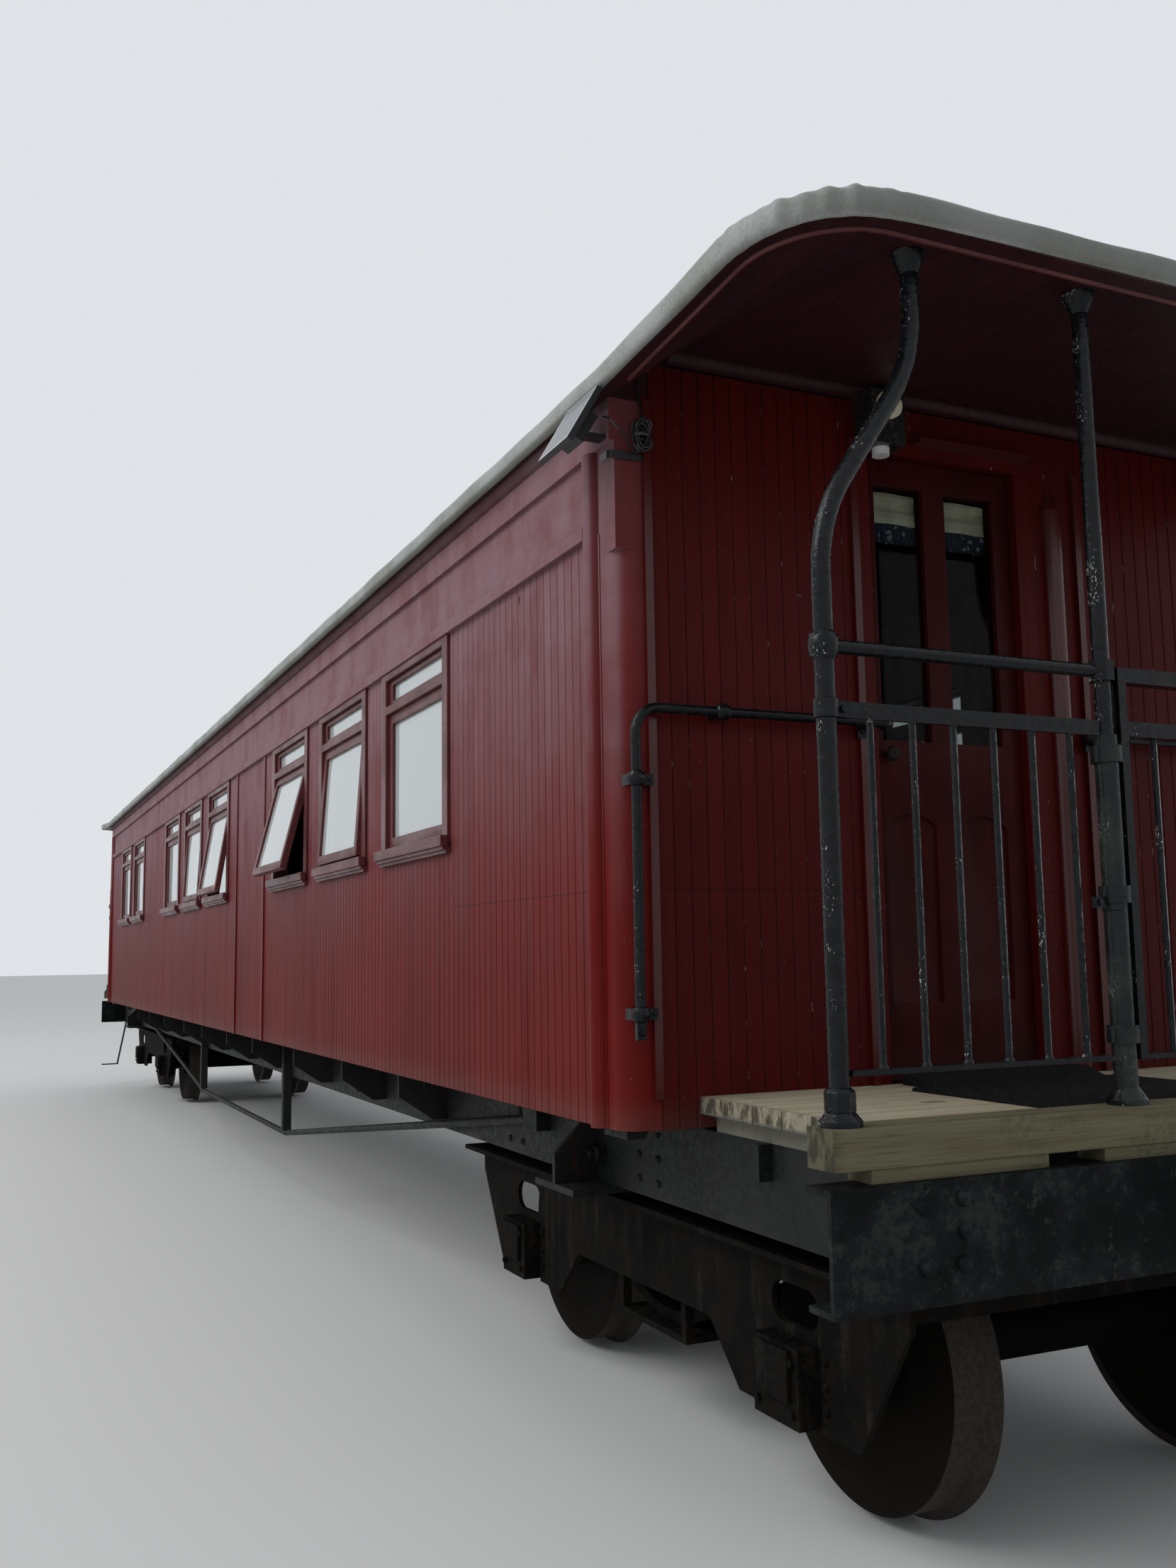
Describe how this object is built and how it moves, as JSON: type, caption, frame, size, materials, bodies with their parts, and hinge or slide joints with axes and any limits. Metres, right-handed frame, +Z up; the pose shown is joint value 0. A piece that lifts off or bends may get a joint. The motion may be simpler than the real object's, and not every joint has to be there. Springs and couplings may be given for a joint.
{
  "type": "timber bogie passenger coach with open end platforms",
  "caption": "Matchboarded timber coach body with an arched roof and open railed platforms, on a steel underframe and two four-wheel bogies.",
  "frame": {"origin": "on the floor that the wheel flanges stand on, under the middle of the coach", "axes": "+X along the coach to the pictured end, +Y across to its far side in the picture, +Z up"},
  "size_m": [15.84, 2.6721, 3.3996],
  "materials": {
    "underframe_steel": "blue-black painted rolled steel, dusty",
    "headstock_steel": "black paint over riveted steel with rust streaks",
    "body_red": "dark red painted matchboard, semi-matt, weathered",
    "joinery_red": "maroon painted joinery, semi-gloss",
    "window_glass": "clear window glass",
    "roof_canvas": "light grey painted canvas",
    "floor_timber": "plain floor boards",
    "deck_timber": "weathered grey deck boards",
    "pine_beam": "pale treated pine",
    "black_iron": "black gloss paint, chipped",
    "hinge_brass": "plain steel lift-off hinges",
    "lamp_cream": "cream lamp bodies",
    "solar_black": "black solar lamp on a stay",
    "bogie_brown": "brown dirt over painted steel plate",
    "wheel_steel": "dull brown rolled steel wheels"
  },
  "bodies": {
    "coach": {"sole_bars": "underframe_steel", "headstocks": "headstock_steel", "cross_members": "underframe_steel", "draft_sills": "underframe_steel", "body_bolsters": "underframe_steel", "truss_rods": "underframe_steel", "queen_posts": "underframe_steel", "body_brackets": "underframe_steel", "step_irons": "underframe_steel", "floor": "floor_timber", "side_wall_left": "body_red", "side_wall_right": "body_red", "corner_posts": "body_red", "end_wall_front": "body_red", "end_wall_rear": "body_red", "side_mouldings": "body_red", "window_frames": "joinery_red", "window_sashes": "joinery_red", "window_glass": "window_glass", "roof": "roof_canvas", "canopies": "roof_canvas", "platform_decks": "deck_timber", "end_beams": "pine_beam", "platform_posts": "black_iron", "railings": "black_iron", "handrails": "black_iron", "door_posts": "body_red", "door_hinges": "hinge_brass", "couplers": "headstock_steel", "lamps": "lamp_cream", "solar_lamp": "solar_black"},
    "door_front": {"end_door_front": "joinery_red", "door_glass_front": "window_glass"},
    "door_rear": {"end_door_rear": "joinery_red", "door_glass_rear": "window_glass"},
    "gate_front": {"gangway_gate_front": "black_iron"},
    "gate_rear": {"gangway_gate_rear": "black_iron"},
    "bogie_front": {"bogie_front_frame": "bogie_brown", "bogie_front_bolster": "bogie_brown", "bogie_front_springs": "bogie_brown", "bogie_front_axleboxes": "bogie_brown"},
    "bogie_rear": {"bogie_rear_frame": "bogie_brown", "bogie_rear_bolster": "bogie_brown", "bogie_rear_springs": "bogie_brown", "bogie_rear_axleboxes": "bogie_brown"},
    "wheelset_front_outer": {"wheelset_front_outer": "wheel_steel"},
    "wheelset_front_inner": {"wheelset_front_inner": "wheel_steel"},
    "wheelset_rear_outer": {"wheelset_rear_outer": "wheel_steel"},
    "wheelset_rear_inner": {"wheelset_rear_inner": "wheel_steel"}
  },
  "joints": [
    {"name": "door_front_swing", "type": "hinge", "parent": "coach", "child": "door_front", "pos_m": [6.626, 0.189, 1], "axis": [0, 0, 1], "range_deg": [-90, 0]},
    {"name": "door_rear_swing", "type": "hinge", "parent": "coach", "child": "door_rear", "pos_m": [-6.626, 0.189, 1], "axis": [0, 0, 1], "range_deg": [0, 90]},
    {"name": "gate_front_swing", "type": "hinge", "parent": "coach", "child": "gate_front", "pos_m": [7.556, -0.349, 1], "axis": [0, 0, 1], "range_deg": [0, 90]},
    {"name": "gate_rear_swing", "type": "hinge", "parent": "coach", "child": "gate_rear", "pos_m": [-7.556, -0.349, 1], "axis": [0, 0, 1], "range_deg": [-90, 0]},
    {"name": "bogie_front_swivel", "type": "hinge", "parent": "coach", "child": "bogie_front", "pos_m": [5.94, 0, 0.65], "axis": [0, 0, 1], "range_deg": [-6, 6]},
    {"name": "wheelset_front_outer_spin", "type": "hinge", "parent": "bogie_front", "child": "wheelset_front_outer", "pos_m": [6.85, 0, 0.406], "axis": [0, 1, 0], "continuous": true},
    {"name": "wheelset_front_inner_spin", "type": "hinge", "parent": "bogie_front", "child": "wheelset_front_inner", "pos_m": [5.03, 0, 0.406], "axis": [0, 1, 0], "continuous": true},
    {"name": "bogie_rear_swivel", "type": "hinge", "parent": "coach", "child": "bogie_rear", "pos_m": [-5.94, 0, 0.65], "axis": [0, 0, 1], "range_deg": [-6, 6]},
    {"name": "wheelset_rear_outer_spin", "type": "hinge", "parent": "bogie_rear", "child": "wheelset_rear_outer", "pos_m": [-6.85, 0, 0.406], "axis": [0, 1, 0], "continuous": true},
    {"name": "wheelset_rear_inner_spin", "type": "hinge", "parent": "bogie_rear", "child": "wheelset_rear_inner", "pos_m": [-5.03, 0, 0.406], "axis": [0, 1, 0], "continuous": true}
  ]
}
